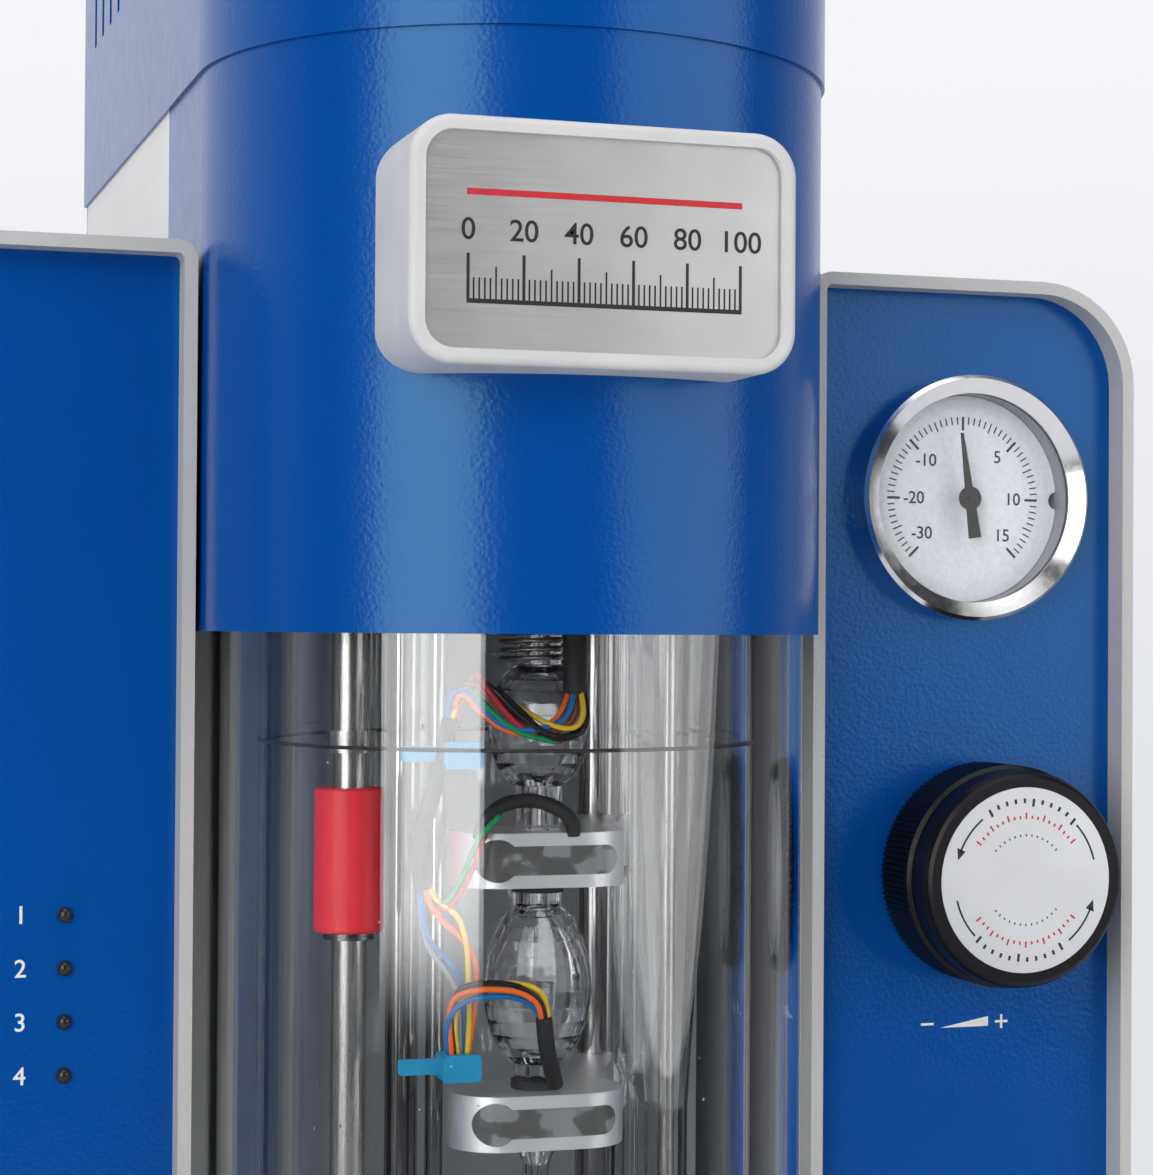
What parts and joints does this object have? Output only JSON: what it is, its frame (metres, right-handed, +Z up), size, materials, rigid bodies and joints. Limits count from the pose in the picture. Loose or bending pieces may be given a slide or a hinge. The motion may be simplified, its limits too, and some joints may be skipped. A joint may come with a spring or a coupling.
{
  "type": "automatic viscometer",
  "caption": "Bench instrument that draws samples from a carousel into a heated glass bath and times their flow through a capillary tube.",
  "frame": {"origin": "on the bench, under the middle of the box around the whole instrument; the bath's axis passes through it", "axes": "+Z up, -Y towards the operator (the side with gauge, knob and carousel), +X to the operator's right"},
  "size_m": [0.3212, 0.436, 0.8601],
  "materials": {
    "grey_paint": "light warm grey powder coat, fine texture",
    "blue_paint": "deep blue powder coat with a fine leathery grain",
    "light_plastic": "light grey textured moulding",
    "satin_aluminium": "satin sheet with fine speckle",
    "chrome": "bright plating",
    "white_dial": "matt white with printed scale",
    "black_needle": "matt black",
    "black_steel": "black enamel",
    "black_plastic": "black, satin",
    "black_gloss": "black, smooth",
    "silver_label": "silver foil disc with printed arrows",
    "lamp_plastic": "dark lens",
    "red_plastic": "red, satin",
    "blue_plastic": "light blue nylon",
    "wire_skin": "coloured wire insulation",
    "black_sleeve": "black sleeving",
    "potting": "grey resin",
    "glass": "clear borosilicate",
    "clear_tube": "clear, polished",
    "aluminium": "brushed",
    "brushed_steel": "drawn stainless",
    "brass": "turned",
    "circuit_board": "green laminate",
    "rubber": "black moulded"
  },
  "bodies": {
    "instrument": {"base_chassis": "grey_paint", "base_floor": "grey_paint", "rubber_feet": "rubber", "power_inlet": "black_plastic", "left_flank_shell": "grey_paint", "right_flank_shell": "grey_paint", "left_front_panel": "blue_paint", "right_front_panel": "blue_paint", "status_leds": "lamp_plastic", "tower_shell": "grey_paint", "rear_panel": "grey_paint", "rear_fittings": "brass", "solenoid_valves": "brass", "fan_frame": "black_plastic", "power_supply": "brushed_steel", "circuit_boards": "circuit_board", "bay_wall": "brushed_steel", "bath_base_plate": "aluminium", "guard_tube": "clear_tube", "bath_jar": "glass", "bath_top_plate": "aluminium", "hood": "blue_paint", "chamber_liner": "grey_paint", "top_cover": "blue_paint", "nameplate_frame": "light_plastic", "nameplate": "satin_aluminium", "gauge_bezel": "chrome", "gauge_window": "glass", "gauge_case": "black_steel", "gauge_dial": "white_dial", "regulator_body": "brass", "viscometer_tube": "glass", "detector_clamps": "aluminium", "detector_potting": "potting", "seal_rings": "rubber", "support_column": "brushed_steel", "heater_tube": "brushed_steel", "probe_tube": "brushed_steel", "side_arm_tube": "glass", "draft_tube": "clear_tube", "drive_motors": "black_steel", "float_stem": "brushed_steel", "bath_springs": "brushed_steel", "detector_wires": "wire_skin", "cable_sleeves": "black_sleeve", "cable_ties": "blue_plastic", "lift_rails": "brushed_steel"},
    "knob": {"regulator_knob": "black_plastic", "knob_label": "silver_label"},
    "pointer": {"gauge_pointer": "black_needle"},
    "float": {"level_float": "red_plastic"},
    "stirrer": {"stirrer": "brushed_steel"},
    "carousel": {"carousel_disc": "aluminium", "carousel_hub": "aluminium", "sample_vials": "glass", "vial_caps": "black_gloss"},
    "lift": {"lift_platform": "aluminium"},
    "screw": {"lift_screw": "brushed_steel"},
    "rocker": {"switch_rocker": "black_gloss"},
    "fan": {"fan_rotor": "black_plastic"}
  },
  "joints": [
    {"name": "knob_turn", "type": "hinge", "parent": "instrument", "child": "knob", "pos_m": [0.122, -0.01, 0.562], "axis": [0, 1, 0], "range_deg": [-720, 720]},
    {"name": "pointer_turn", "type": "hinge", "parent": "instrument", "child": "pointer", "pos_m": [0.1182, 0.001, 0.6535], "axis": [0, 1, 0], "range_deg": [-127, 143], "stiffness_Nm_per_rad": 0.0005},
    {"name": "float_slide", "type": "slide", "parent": "instrument", "child": "float", "axis": [0, 0, 1], "range_m": [0, 0.0075]},
    {"name": "stirrer_spin", "type": "hinge", "parent": "instrument", "child": "stirrer", "pos_m": [0.0401, 0, 0.5], "axis": [0, 0, 1], "continuous": true},
    {"name": "carousel_turn", "type": "hinge", "parent": "instrument", "child": "carousel", "pos_m": [0, -0.103, 0.2], "axis": [0, 0, 1], "range_deg": [0, 334.29]},
    {"name": "vial_lift", "type": "slide", "parent": "instrument", "child": "lift", "axis": [0, 0, 1], "range_m": [0, 0.08]},
    {"name": "lift_screw_turn", "type": "hinge", "parent": "instrument", "child": "screw", "pos_m": [0, 0.054, 0.2], "axis": [0, 0, 1], "range_deg": [0, 3600]},
    {"name": "power_switch", "type": "hinge", "parent": "instrument", "child": "rocker", "pos_m": [-0.06, 0.197, 0.06], "axis": [1, 0, 0], "range_deg": [0, 24]},
    {"name": "fan_spin", "type": "hinge", "parent": "instrument", "child": "fan", "pos_m": [0, 0.196, 0.61], "axis": [0, 1, 0], "continuous": true}
  ],
  "couplings": [
    {"joint": "lift_screw_turn", "follows": "vial_lift", "rad_per_m": 785.4}
  ]
}
